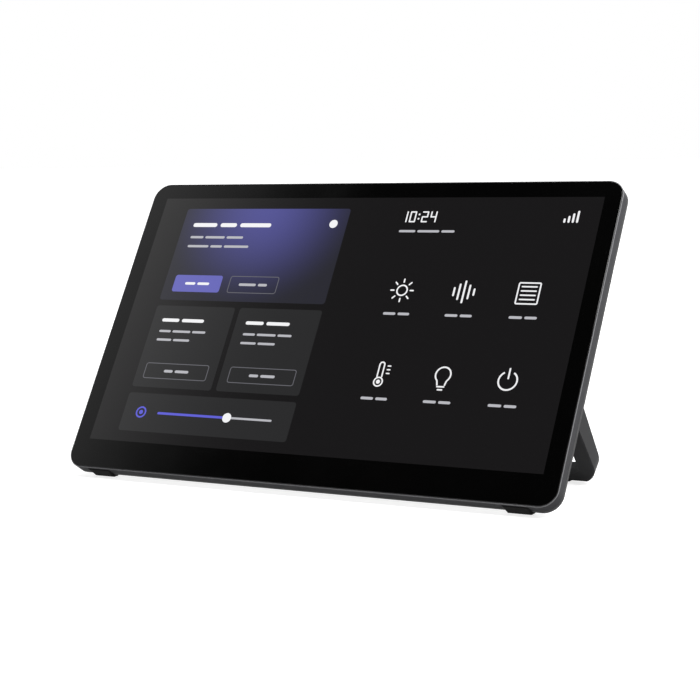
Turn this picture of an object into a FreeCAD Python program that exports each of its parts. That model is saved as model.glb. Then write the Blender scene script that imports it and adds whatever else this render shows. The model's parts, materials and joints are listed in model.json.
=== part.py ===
"""A tabletop touch console: a wide touch display in a thin housing, leaning on a U-shaped stand that turns on
two barrel hinges. The origin is on the table under the middle of the object, +X runs to the right of somebody
facing the screen, +Y runs away from them and +Z is up. Lengths are in millimetres and angles in degrees.

The display pieces are drawn in the panel's own frame and tilted afterwards: x across, y up the panel from its
lower edge, and depth counted backwards from the front face of the glass. The stand pieces are drawn about the
hinge axis.
"""

import FreeCAD
import Part
import Sketcher
import math
import os

# Every driving dimension: its name, its value and what it measures
SIZES = (
    ("active_width", 256.1, "lit picture, across"),
    ("active_height", 144.0, "lit picture, up the panel"),
    ("side_border", 9.35, "picture to the housing's sides"),
    ("top_border", 9.05, "picture to the housing's upper edge"),
    ("bottom_border", 16.05, "picture to the housing's lower edge"),
    ("corner_radius", 9.0, "housing corners seen from the front"),
    ("tilt", 57.0, "panel against the table, at rest"),
    ("lip", 0.4, "rim of the frame around the glass"),
    ("lip_chamfer", 0.25, "bright edge of the frame's rim"),
    ("seam_chamfer", 0.2, "each half of the groove between the frame and the rear cover"),
    ("glass_gap", 0.1, "room around the glass in its seat"),
    ("glass_thickness", 1.8, "cover glass"),
    ("glass_chamfer", 0.3, "ground front edge of the glass"),
    ("tape_thickness", 0.3, "bonding tape under the glass"),
    ("tape_width", 3.4, "bonding tape, across its ring"),
    ("tape_inset", 0.8, "edge of the glass to the tape"),
    ("touch_thickness", 0.3, "touch sensor film"),
    ("cell_thickness", 1.0, "liquid crystal cell"),
    ("cell_margin", 2.5, "picture to the edge of the cell"),
    ("diffuser_thickness", 0.3, "diffuser sheets"),
    ("guide_thickness", 0.8, "light guide"),
    ("reflector_thickness", 0.2, "reflector sheet"),
    ("tray_wall", 0.4, "backlight tray metal"),
    ("sheet_gap", 0.3, "backlight sheets to the tray's wall"),
    ("led_strip", 1.0, "light bar's strip, up the panel"),
    ("led_reach", 1.0, "one light emitter, up the panel"),
    ("led_width", 5.2, "one light emitter, across"),
    ("led_gap", 1.0, "light emitters to the light guide"),
    ("led_count", 24, "light emitters along the bar"),
    ("stack_gap", 0.1, "backlight tray to the chassis"),
    ("opening_gap", 0.5, "display stack to the frame around it"),
    ("wall", 2.0, "rear cover wall"),
    ("chassis_thickness", 1.0, "sheet metal chassis"),
    ("chassis_gap", 0.5, "chassis edge to the rear cover's wall"),
    ("rear_wall_height", 2.2, "straight side of the rear cover"),
    ("slope_rise", 4.0, "depth of the sloped back edge"),
    ("slope_width", 12.0, "width of the sloped back edge"),
    ("slope_lead", 0.6, "sloped edge's hollow, ahead of its outside"),
    ("slope_step", 0.8, "sloped edge's hollow, in from its outside at the flat back"),
    ("back_corner", 6.0, "corners of the flat back"),
    ("pod_rise", 13.0, "electronics pod behind the flat back"),
    ("pod_side", 39.4, "housing's sides to the pod's foot"),
    ("pod_low", 24.0, "lower edge of the pod's foot, up the panel"),
    ("pod_top", 27.1, "housing's upper edge to the pod's foot"),
    ("pod_slope", 8.0, "draft of the pod's sides"),
    ("pod_wall", 1.2, "pod's side walls, measured across"),
    ("pod_corner", 16.0, "corners of the pod's foot"),
    ("pod_edge", 1.6, "rounded rear edge of the pod"),
    ("vent_count", 15, "cooling slots in the pod"),
    ("vent_width", 2.0, "one cooling slot, across"),
    ("vent_length", 15.0, "one cooling slot, along"),
    ("vent_pitch", 6.0, "cooling slots, centre to centre"),
    ("vent_drop", 17.0, "pod's upper edge to the middle of the slots"),
    ("rear_screw_side", 25.4, "housing's sides to the rear screws"),
    ("rear_screw_low", 24.0, "lower rear screws, up the panel"),
    ("rear_screw_top", 23.1, "housing's upper edge to the upper rear screws"),
    ("screw_radius", 1.25, "M2.5 screw shank"),
    ("screw_head_radius", 2.4, "M2.5 screw head"),
    ("screw_head_height", 1.2, "M2.5 screw head"),
    ("screw_room", 0.2, "clearance around screws"),
    ("boss_radius", 3.4, "screw boss in the rear cover"),
    ("rim_screw_radius", 0.8, "M1.6 chassis screw shank"),
    ("rim_screw_head", 1.5, "M1.6 chassis screw head, across its corners, halved"),
    ("rim_head_height", 0.5, "M1.6 chassis screw head"),
    ("rim_screw_length", 1.6, "M1.6 chassis screw below the chassis"),
    ("rim_screw_spread", 48.0, "chassis screws, up and down from the middle of the picture"),
    ("socket_radius", 1.1, "hex socket of a screw, across its corners, halved"),
    ("socket_depth", 0.7, "hex socket of a screw"),
    ("standoff_height", 7.3, "chassis to the main board"),
    ("standoff_radius", 3.0, "hexagonal board standoff, across its corners, halved"),
    ("board_thickness", 1.2, "main board"),
    ("board_corner", 1.5, "corners of the main board"),
    ("board_side", 26.0, "pod's foot to the main board's sides"),
    ("board_rise", 10.0, "pod's foot to the main board's lower edge"),
    ("board_drop", 22.0, "pod's foot to the main board's upper edge"),
    ("board_hole_inset", 6.0, "main board edge to its screws"),
    ("part_gap", 3.0, "heat spreader to the parts beside it"),
    ("chip_height", 1.4, "processor and memory"),
    ("processor_side", 14.4, "processor, each way"),
    ("pad_thickness", 1.0, "thermal pad"),
    ("spreader_thickness", 1.5, "heat spreader plate"),
    ("spreader_height", 43.0, "heat spreader plate, up the panel"),
    ("post_inset", 3.6, "heat spreader's edge to its posts"),
    ("post_radius", 1.8, "hexagonal post of the heat spreader, across its corners, halved"),
    ("memory_side", 9.6, "one memory chip, each way"),
    ("memory_pitch", 17.2, "memory chips, centre to centre"),
    ("memory_edge", 15.8, "main board's side to the middle of the memory"),
    ("can_side", 33.0, "shield can, each way"),
    ("can_edge", 27.4, "main board's side to the middle of the shield can"),
    ("can_height", 3.0, "shield can"),
    ("can_wall", 0.3, "shield can metal"),
    ("port_overhang", 3.2, "mouths of the sockets, past the main board's lower edge"),
    ("port_gap", 12.0, "one socket to the next"),
    ("port_room", 0.4, "room around a socket in the rear cover"),
    ("socket_wall", 0.4, "metal of a socket's shell"),
    ("socket_corner", 1.2, "corners of a socket's shell"),
    ("tongue_gap", 1.5, "contact tongue to the sides of its socket"),
    ("hdmi_width", 15.0, "video socket, across"),
    ("hdmi_height", 5.6, "video socket, off the board"),
    ("hdmi_length", 11.0, "video socket, along"),
    ("usb_width", 8.9, "data socket, across"),
    ("usb_height", 3.2, "data socket, off the board"),
    ("usb_length", 7.4, "data socket, along"),
    ("flex_thickness", 0.25, "flexible cable"),
    ("flex_reach", 7.0, "main board's upper edge to where the flexible cables rise"),
    ("flex_x", 18.5, "flexible cables, from the middle to their own middles"),
    ("display_flex_width", 21.6, "flexible cable of the display"),
    ("touch_flex_width", 14.4, "flexible cable of the touch sensor"),
    ("flex_room", 1.2, "room around a flexible cable in the chassis"),
    ("connector_length", 6.0, "flexible cable connector, along"),
    ("connector_height", 1.5, "flexible cable connector, off the board"),
    ("foot_side", 20.2, "housing's sides to the middle of a front foot"),
    ("foot_length", 13.6, "front foot, across"),
    ("foot_standoff", 1.4, "housing's lowest edge above the table"),
    ("foot_front", 1.0, "front foot's flat, behind the straight side"),
    ("foot_flat", 2.8, "front foot's flat, counted in depth"),
    ("foot_seat", 8.0, "glued face of the front foot, up the slope"),
    ("foot_chamfer", 0.9, "ends of the front foot"),
    ("hinge_y", 63.1, "hinge axis, up the panel"),
    ("barrel_radius", 6.6, "hinge barrels"),
    ("hinge_gap", 0.6, "hinge barrels to the flat back"),
    ("pin_radius", 2.5, "hinge pin"),
    ("pin_play", 0.05, "hinge pin in the fixed barrel, on the radius"),
    ("stand_side", 11.4, "housing's sides to the stand's sides"),
    ("leg_width", 8.2, "stand leg, across"),
    ("leg_foot_thickness", 8.1, "stand leg at its lower end, front to rear"),
    ("bar_height", 7.6, "stand's cross bar, along the legs"),
    ("stand_corner", 14.0, "stand's outer corners"),
    ("stand_inner_corner", 7.0, "stand's inner corners"),
    ("stand_edge", 0.5, "chamfer around the sides of the stand"),
    ("stand_lean", 40.3, "stand's front face against upright, at rest"),
    ("pad_height", 2.8, "rubber pad, along the legs"),
    ("pad_proud", 0.9, "rubber pad beyond the metal"),
    ("pad_flat", 4.0, "flat that the pad stands on"),
    ("pad_end", 16.0, "stand's sides to the ends of the rubber pad"),
    ("washer_thickness", 1.0, "friction washer"),
    ("washer_radius", 5.6, "friction washer"),
    ("side_play", 0.05, "turning hinge parts to the fixed barrel, sideways"),
    ("knuckle_width", 9.8, "fixed hinge barrel"),
    ("knuckle_room", 0.5, "fixed hinge barrel in the rear cover"),
    ("bracket_thickness", 1.4, "hinge bracket's base plate"),
    ("bracket_reach", 8.0, "hinge bracket's base, past the barrel"),
    ("bracket_half_height", 13.0, "hinge bracket's base, up and down"),
    ("bracket_screw_y", 9.0, "hinge bracket screws, up and down from the axis"),
    ("nut_width", 2.5, "hinge nut"),
    ("nut_radius", 4.2, "hinge nut, across its corners, halved"),
    ("cap_depth", 1.5, "pivot cap"),
    ("cap_radius", 4.2, "pivot cap"),
)

DOC = FreeCAD.newDocument("touch_console")
SHEET = DOC.addObject("Spreadsheet::Sheet", "Sizes")


class Size:
    """A length or angle that knows its value and the spreadsheet formula it comes from."""

    def __init__(self, value, text):
        self.value = value
        self.text = text

    def _join(self, other, sign, value):
        return Size(value, f"({self.text} {sign} {formula(other)})")

    def __add__(self, other):
        return self._join(other, "+", self.value + number(other))

    def __sub__(self, other):
        return self._join(other, "-", self.value - number(other))

    def __mul__(self, other):
        return self._join(other, "*", self.value * number(other))

    def __truediv__(self, other):
        return self._join(other, "/", self.value / number(other))

    def __neg__(self):
        return Size(-self.value, f"(0 - {self.text})")

    def __radd__(self, other):
        return self + other

    def __rmul__(self, other):
        return self * other

    def __rsub__(self, other):
        return -self + other


def number(q):
    return q.value if isinstance(q, Size) else float(q)


def formula(q):
    return q.text if isinstance(q, Size) else repr(float(q))


def cosine(q):
    return Size(math.cos(math.radians(q.value)), f"cos({q.text} * 1 deg)")


def sine(q):
    return Size(math.sin(math.radians(q.value)), f"sin({q.text} * 1 deg)")


class Named:
    """The spreadsheet's values by name."""


def fill_sheet():
    s = Named()
    for row, (alias, value, meaning) in enumerate(SIZES, start=1):
        SHEET.set(f"A{row}", meaning)
        SHEET.set(f"B{row}", str(value))
        SHEET.setAlias(f"B{row}", alias)
        setattr(s, alias, Size(float(value), f"Sizes.{alias}"))
    DOC.recompute()
    return s


s = fill_sheet()


def bind(target, prop, q):
    """Sets a property from a size, and ties it to the sheet."""
    if isinstance(q, Size):
        target.setExpression(prop, q.text)
    else:
        setattr(target, prop, q)


class Outline:
    """A sketch on one of its body's origin planes, some way along that plane's normal."""

    def __init__(self, body, plane, offset):
        self.sketch = body.newObject("Sketcher::SketchObject", body.Name + "_outline")
        support = next(f for f in body.Origin.OriginFeatures if f.Role == plane)
        self.sketch.AttachmentSupport = [(support, "")]
        self.sketch.MapMode = "FlatFace"
        self.sketch.AttachmentOffset = FreeCAD.Placement(
            FreeCAD.Vector(0, 0, number(offset)), FreeCAD.Rotation()
        )
        if isinstance(offset, Size):
            self.sketch.setExpression("AttachmentOffset.Base.z", offset.text)

    def hold(self, rules):
        """Adds constraints; each is (arguments, size or None)."""
        first = self.sketch.ConstraintCount
        made = []
        for arguments, size in rules:
            extra = [] if size is None else [number(size)]
            made.append(Sketcher.Constraint(*arguments, *extra))
        self.sketch.addConstraint(made)
        for i, (arguments, size) in enumerate(rules, start=first):
            if isinstance(size, Size):
                self.sketch.renameConstraint(i, f"size{i}")
                self.sketch.setExpression(f"Constraints.size{i}", size.text)

    @staticmethod
    def at(geometry, end, x, y):
        return [
            (("DistanceX", -1, 1, geometry, end), x),
            (("DistanceY", -1, 1, geometry, end), y),
        ]

    def polygon(self, points):
        """Straight sides through the points, in order."""
        corners = [FreeCAD.Vector(number(x), number(y), 0) for x, y in points]
        first = self.sketch.GeometryCount
        count = len(points)
        rules = []
        for i in range(count):
            self.sketch.addGeometry(Part.LineSegment(corners[i], corners[(i + 1) % count]), False)
        for i, (x, y) in enumerate(points):
            rules += self.at(first + i, 1, x, y)
            rules.append((("Coincident", first + i, 2, first + (i + 1) % count, 1), None))
        self.hold(rules)
        return self

    def rectangle(self, x0, y0, x1, y1):
        return self.polygon([(x0, y0), (x1, y0), (x1, y1), (x0, y1)])

    def rounded(self, x0, y0, x1, y1, radius):
        """A rectangle with round corners: four sides, then the four corner arcs after each side."""
        first = self.sketch.GeometryCount
        ends = [
            ((x0 + radius, y0), (x1 - radius, y0)),
            ((x1, y0 + radius), (x1, y1 - radius)),
            ((x1 - radius, y1), (x0 + radius, y1)),
            ((x0, y1 - radius), (x0, y0 + radius)),
        ]
        middles = [(x1 - radius, y0 + radius), (x1 - radius, y1 - radius), (x0 + radius, y1 - radius),
                   (x0 + radius, y0 + radius)]
        for start, end in ends:
            a, b = (FreeCAD.Vector(number(x), number(y), 0) for x, y in (start, end))
            self.sketch.addGeometry(Part.LineSegment(a, b), False)
        for i, (x, y) in enumerate(middles):
            middle = FreeCAD.Vector(number(x), number(y), 0)
            circle = Part.Circle(middle, FreeCAD.Vector(0, 0, 1), number(radius))
            turn = math.pi / 2 * (i - 1)
            self.sketch.addGeometry(Part.ArcOfCircle(circle, turn, turn + math.pi / 2), False)
        rules = []
        for i, (start, end) in enumerate(ends):
            rules += self.at(first + i, 1, *start) + self.at(first + i, 2, *end)
            rules.append((("Tangent", first + i, 2, first + 4 + i, 1), None))
            rules.append((("Coincident", first + 4 + i, 2, first + (i + 1) % 4, 1), None))
        self.hold(rules)
        return self

    def circle(self, x, y, radius):
        middle = FreeCAD.Vector(number(x), number(y), 0)
        circle = Part.Circle(middle, FreeCAD.Vector(0, 0, 1), number(radius))
        geometry = self.sketch.addGeometry(circle, False)
        self.hold(self.at(geometry, 3, x, y) + [(("Radius", geometry), radius)])
        return self

    def hexagon(self, x, y, radius):
        turns = [math.radians(60 * i) for i in range(6)]
        return self.polygon([(x + radius * math.cos(t), y + radius * math.sin(t)) for t in turns])


class Piece:
    """One sub-part: a body that grows feature by feature."""

    made = []

    def __init__(self, label):
        self.body = DOC.addObject("PartDesign::Body", label)
        self.body.Label = label
        Piece.made.append(self)

    def _feature(self, kind, outline):
        feature = self.body.newObject("PartDesign::" + kind, self.body.Name + "_" + kind)
        feature.Profile = outline.sketch
        return feature

    def front(self, depth):
        """A sketch facing the viewer, at a depth behind the glass."""
        return Outline(self.body, "XY_Plane", -depth)

    def side(self, x):
        """A sketch seen from the right, x from the middle."""
        return Outline(self.body, "YZ_Plane", x)

    def level(self, y):
        """A sketch seen from below, y up the panel."""
        return Outline(self.body, "XZ_Plane", -y)

    def add(self, outline, length, backwards=False):
        pad = self._feature("Pad", outline)
        pad.Reversed = backwards
        bind(pad, "Length", length)
        DOC.recompute()
        return self

    def cut(self, outline, length):
        """Cuts against the sketch's normal: deeper, to the left, or up the panel."""
        before = self.body.Tip.Shape.Volume
        pocket = self._feature("Pocket", outline)
        bind(pocket, "Length", length)
        DOC.recompute()
        if pocket.Shape.Volume >= before:
            raise RuntimeError(f"{self.body.Label}: a cut removed nothing")
        return self

    def repeat(self, count, pitch):
        """Repeats the newest feature to the right, at a pitch."""
        row = self.body.newObject("PartDesign::LinearPattern", self.body.Name + "_LinearPattern")
        row.Originals = [self.body.Tip]
        row.Direction = (next(f for f in self.body.Origin.OriginFeatures if f.Role == "X_Axis"), [""])
        bind(row, "Length", pitch * (count - 1))
        bind(row, "Occurrences", count)
        self.body.Tip = row
        DOC.recompute()
        return self

    def loft(self, kind, first, second):
        feature = self._feature(kind, first)
        feature.Sections = [second.sketch]
        feature.Ruled = True
        DOC.recompute()
        return self

    def edges(self, wanted):
        """Names of the current edges whose geometry passes the test."""
        DOC.recompute()
        found = enumerate(self.body.Tip.Shape.Edges, start=1)
        return [f"Edge{i}" for i, edge in found if wanted(edge)]

    def soften(self, kind, size, wanted):
        """A fillet or chamfer on the edges that pass the test."""
        names = self.edges(wanted)
        base = self.body.Tip
        feature = self.body.newObject("PartDesign::" + kind, self.body.Name + "_" + kind)
        feature.Base = (base, names)
        bind(feature, "Radius" if kind == "Fillet" else "Size", size)
        DOC.recompute()
        return self


def mirrored(side, low, high):
    """The range from low to high on the right, or its mirror image on the left: (start, length)."""
    return (low, high - low) if side > 0 else (-high, high - low)


def near(a, b):
    return abs(a - b) < SAME_PLACE


def flat_at(z):
    """Test for edges lying in the plane at height z of a body's own frame."""
    level = number(z)
    return lambda edge: all(near(v.Z, level) for v in edge.Vertexes)


SIDES = (("right", 1), ("left", -1))
QUARTER_TURN = 90.0
# Millimetres within which two places count as one when edges are picked out
SAME_PLACE = 1e-3

# Depths behind the front of the glass, from front to back
SEAT_DEPTH = s.glass_thickness + s.tape_thickness
CELL_DEPTH = s.glass_thickness + s.touch_thickness
DIFFUSER_DEPTH = CELL_DEPTH + s.cell_thickness
GUIDE_DEPTH = DIFFUSER_DEPTH + s.diffuser_thickness
REFLECTOR_DEPTH = GUIDE_DEPTH + s.guide_thickness
TRAY_DEPTH = REFLECTOR_DEPTH + s.reflector_thickness
FRAME_DEPTH = TRAY_DEPTH + s.tray_wall + s.stack_gap
CHASSIS_BACK = FRAME_DEPTH + s.chassis_thickness
SIDE_DEPTH = FRAME_DEPTH + s.rear_wall_height
BACK_DEPTH = SIDE_DEPTH + s.slope_rise
POD_DEPTH = BACK_DEPTH + s.pod_rise
FLOOR_DEPTH = BACK_DEPTH - s.wall
BOARD_DEPTH = CHASSIS_BACK + s.standoff_height
BOARD_BACK = BOARD_DEPTH + s.board_thickness
HINGE_DEPTH = BACK_DEPTH + s.hinge_gap + s.barrel_radius

# Places across the panel and up it
HALF_WIDTH = s.active_width / 2 + s.side_border
BODY_HEIGHT = s.bottom_border + s.active_height + s.top_border
PICTURE_MIDDLE = s.bottom_border + s.active_height / 2
CELL_HALF_WIDTH = s.active_width / 2 + s.cell_margin
CELL_HALF_HEIGHT = s.active_height / 2 + s.cell_margin
SHEET_HALF_WIDTH = CELL_HALF_WIDTH - s.tray_wall - s.sheet_gap
OPENING_HALF_WIDTH = CELL_HALF_WIDTH + s.opening_gap
OPENING_HALF_HEIGHT = CELL_HALF_HEIGHT + s.opening_gap
POD_HALF_WIDTH = HALF_WIDTH - s.pod_side
POD_HIGH = BODY_HEIGHT - s.pod_top
BOARD_HALF_WIDTH = POD_HALF_WIDTH - s.board_side
BOARD_LOW = s.pod_low + s.board_rise
BOARD_HIGH = POD_HIGH - s.board_drop
FLEX_RISE = BOARD_HIGH + s.flex_reach
PORT_PLANE = BOARD_LOW - s.port_overhang
STAND_HALF_WIDTH = HALF_WIDTH - s.stand_side
PAD_HALF_LENGTH = STAND_HALF_WIDTH - s.pad_end
LEG_INNER = STAND_HALF_WIDTH - s.leg_width
KNUCKLE_OUTER = LEG_INNER - s.washer_thickness - s.side_play
KNUCKLE_INNER = KNUCKLE_OUTER - s.knuckle_width

# The table's height in the tilted frame, from the front feet, and what it makes of the stand's leg
TILT_COS = cosine(s.tilt)
TILT_SIN = sine(s.tilt)
LEAN_COS = cosine(s.stand_lean)
LEAN_SIN = sine(s.stand_lean)
TABLE = -(SIDE_DEPTH * TILT_COS) - s.foot_standoff
HINGE_RISE = s.hinge_y * TILT_SIN - HINGE_DEPTH * TILT_COS - TABLE
HINGE_BACK = s.hinge_y * TILT_COS + HINGE_DEPTH * TILT_SIN
LEG_LENGTH = (HINGE_RISE - s.barrel_radius * LEAN_SIN + s.pad_flat * LEAN_SIN * LEAN_COS) / LEAN_COS
LEG_REAR = s.barrel_radius - s.leg_foot_thickness

# The object's reach from front to back, which sets the origin's place under its middle
FRONT_REACH = s.lip_chamfer * TILT_COS
REAR_REACH = BODY_HEIGHT * TILT_COS + SIDE_DEPTH * TILT_SIN


def inset_outline(outline, inset, radius):
    """The housing's outline, drawn in by an inset."""
    return outline.rounded(inset - HALF_WIDTH, inset, HALF_WIDTH - inset, BODY_HEIGHT - inset, radius)


def picture_outline(outline, half_width, half_height):
    """A rectangle about the middle of the picture."""
    low, high = PICTURE_MIDDLE - half_height, PICTURE_MIDDLE + half_height
    return outline.rectangle(-half_width, low, half_width, high)


def cover_glass():
    piece = Piece("cover_glass")
    inset = s.lip + s.glass_gap
    piece.add(inset_outline(piece.front(0), inset, s.corner_radius - inset), s.glass_thickness, True)
    piece.soften("Chamfer", s.glass_chamfer, flat_at(0))


def glass_tape():
    piece = Piece("glass_tape")
    outer = s.lip + s.glass_gap + s.tape_inset
    inner = outer + s.tape_width
    ring = piece.front(s.glass_thickness)
    inset_outline(ring, outer, s.corner_radius - outer)
    inset_outline(ring, inner, s.corner_radius - inner)
    piece.add(ring, s.tape_thickness, True)


def display_stack():
    """The films and glasses that make the picture, from the touch sensor back to the reflector."""
    for label, depth, thickness in (
        ("touch_sensor", s.glass_thickness, s.touch_thickness),
        ("lcd_cell", CELL_DEPTH, s.cell_thickness),
    ):
        pane = Piece(label)
        pane.add(picture_outline(pane.front(depth), CELL_HALF_WIDTH, CELL_HALF_HEIGHT), thickness, True)
    low = PICTURE_MIDDLE - CELL_HALF_HEIGHT + s.tray_wall + s.led_strip + s.led_reach + s.led_gap
    high = PICTURE_MIDDLE + CELL_HALF_HEIGHT - s.tray_wall - s.sheet_gap
    for label, depth, thickness in (
        ("diffuser_sheet", DIFFUSER_DEPTH, s.diffuser_thickness),
        ("light_guide", GUIDE_DEPTH, s.guide_thickness),
        ("reflector_sheet", REFLECTOR_DEPTH, s.reflector_thickness),
    ):
        sheet = Piece(label)
        outline = sheet.front(depth).rectangle(-SHEET_HALF_WIDTH, low, SHEET_HALF_WIDTH, high)
        sheet.add(outline, thickness, True)


def light_bar():
    """A strip along the tray's lower wall with a row of emitters that shine up into the light guide."""
    piece = Piece("led_bar")
    low = PICTURE_MIDDLE - CELL_HALF_HEIGHT + s.tray_wall
    top = low + s.led_strip
    piece.add(piece.front(GUIDE_DEPTH).rectangle(-SHEET_HALF_WIDTH, low, SHEET_HALF_WIDTH, top),
              s.guide_thickness + s.reflector_thickness, True)
    pitch = SHEET_HALF_WIDTH * 2 / s.led_count
    left = (pitch - s.led_width) / 2 - SHEET_HALF_WIDTH
    piece.add(piece.front(GUIDE_DEPTH).rectangle(left, top, left + s.led_width, top + s.led_reach),
              s.guide_thickness, True)
    piece.repeat(s.led_count, pitch)


def backlight_tray():
    piece = Piece("backlight_tray")
    outer = picture_outline(piece.front(DIFFUSER_DEPTH), CELL_HALF_WIDTH, CELL_HALF_HEIGHT)
    piece.add(outer, TRAY_DEPTH + s.tray_wall - DIFFUSER_DEPTH, True)
    hollow = picture_outline(piece.front(DIFFUSER_DEPTH), CELL_HALF_WIDTH - s.tray_wall,
                             CELL_HALF_HEIGHT - s.tray_wall)
    piece.cut(hollow, TRAY_DEPTH - DIFFUSER_DEPTH)


def rim_screw_places():
    """Where the chassis is screwed to the frame, in the ring beside the display."""
    ring = HALF_WIDTH - s.wall - s.chassis_gap - OPENING_HALF_WIDTH
    x = OPENING_HALF_WIDTH + ring / 2
    return [(side * x, PICTURE_MIDDLE + up * s.rim_screw_spread) for side in (1, -1) for up in (1, -1)]


def rear_screw_places():
    x = HALF_WIDTH - s.rear_screw_side
    return [(side * x, y) for side in (1, -1) for y in (s.rear_screw_low, BODY_HEIGHT - s.rear_screw_top)]


def board_screw_places():
    x = BOARD_HALF_WIDTH - s.board_hole_inset
    heights = (BOARD_LOW + s.board_hole_inset, BOARD_HIGH - s.board_hole_inset)
    return [(side * x, y) for side in (1, -1) for y in heights]


def bracket_screw_places(side):
    x = KNUCKLE_INNER - s.bracket_reach / 2
    return [(side * x, s.hinge_y + up * s.bracket_screw_y) for up in (1, -1)]


def circles(outline, places, radius):
    for x, y in places:
        outline.circle(x, y, radius)
    return outline


def hexagons(outline, places, radius):
    for x, y in places:
        outline.hexagon(x, y, radius)
    return outline


def front_frame():
    """The rim that holds the glass, with a ledge under it and a ring that the chassis is screwed to."""
    piece = Piece("front_frame")
    piece.add(inset_outline(piece.front(0), 0, s.corner_radius), FRAME_DEPTH, True)
    piece.soften("Chamfer", s.lip_chamfer, flat_at(0))
    piece.soften("Chamfer", s.seam_chamfer, flat_at(-FRAME_DEPTH))
    piece.cut(inset_outline(piece.front(0), s.lip, s.corner_radius - s.lip), SEAT_DEPTH)
    window = picture_outline(piece.front(SEAT_DEPTH), OPENING_HALF_WIDTH, OPENING_HALF_HEIGHT)
    piece.cut(window, FRAME_DEPTH - SEAT_DEPTH)
    holes = circles(piece.front(FRAME_DEPTH - s.rim_screw_length), rim_screw_places(), s.rim_screw_radius)
    piece.cut(holes, s.rim_screw_length)


def flex_spans():
    """The two flexible cables: their names and the ranges that they cover across the panel."""
    display, touch = s.display_flex_width / 2, s.touch_flex_width / 2
    return (
        ("display_flex", -s.flex_x - display, display - s.flex_x),
        ("touch_flex", s.flex_x - touch, s.flex_x + touch),
    )


def display_chassis():
    """A sheet metal plate across the back of the display, with hexagonal standoffs for the main board."""
    piece = Piece("display_chassis")
    inset = s.wall + s.chassis_gap
    plate = inset_outline(piece.front(FRAME_DEPTH), inset, s.corner_radius - inset)
    piece.add(plate, s.chassis_thickness, True)
    standoffs = hexagons(piece.front(CHASSIS_BACK), board_screw_places(), s.standoff_radius)
    piece.add(standoffs, s.standoff_height, True)
    piece.cut(circles(piece.front(FRAME_DEPTH), board_screw_places(), s.screw_radius),
              s.chassis_thickness + s.standoff_height)
    threads = circles(piece.front(FRAME_DEPTH), rear_screw_places(), s.screw_radius)
    for name, side in SIDES:
        circles(threads, bracket_screw_places(side), s.screw_radius)
    piece.cut(threads, s.chassis_thickness)
    piece.cut(circles(piece.front(FRAME_DEPTH), rim_screw_places(), s.rim_screw_radius + s.screw_room / 2),
              s.chassis_thickness)
    slots = piece.front(FRAME_DEPTH)
    for label, left, right in flex_spans():
        slots.rectangle(left - s.flex_room, FLEX_RISE - s.flex_room,
                        right + s.flex_room, FLEX_RISE + s.flex_thickness + s.flex_room)
    piece.cut(slots, s.chassis_thickness)


def socket_spans():
    """The sockets on the main board: name, middle, width, height off the board and length."""
    video_step = s.usb_width / 2 + s.port_gap + s.hdmi_width / 2
    return (
        ("hdmi_socket", -video_step, s.hdmi_width, s.hdmi_height, s.hdmi_length),
        ("usb_socket_inner", 0.0, s.usb_width, s.usb_height, s.usb_length),
        ("usb_socket_outer", s.usb_width + s.port_gap, s.usb_width, s.usb_height, s.usb_length),
    )


def pod_outline(outline, inset, radius):
    half = POD_HALF_WIDTH - inset
    return outline.rounded(-half, s.pod_low + inset, half, POD_HIGH - inset, radius)


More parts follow.
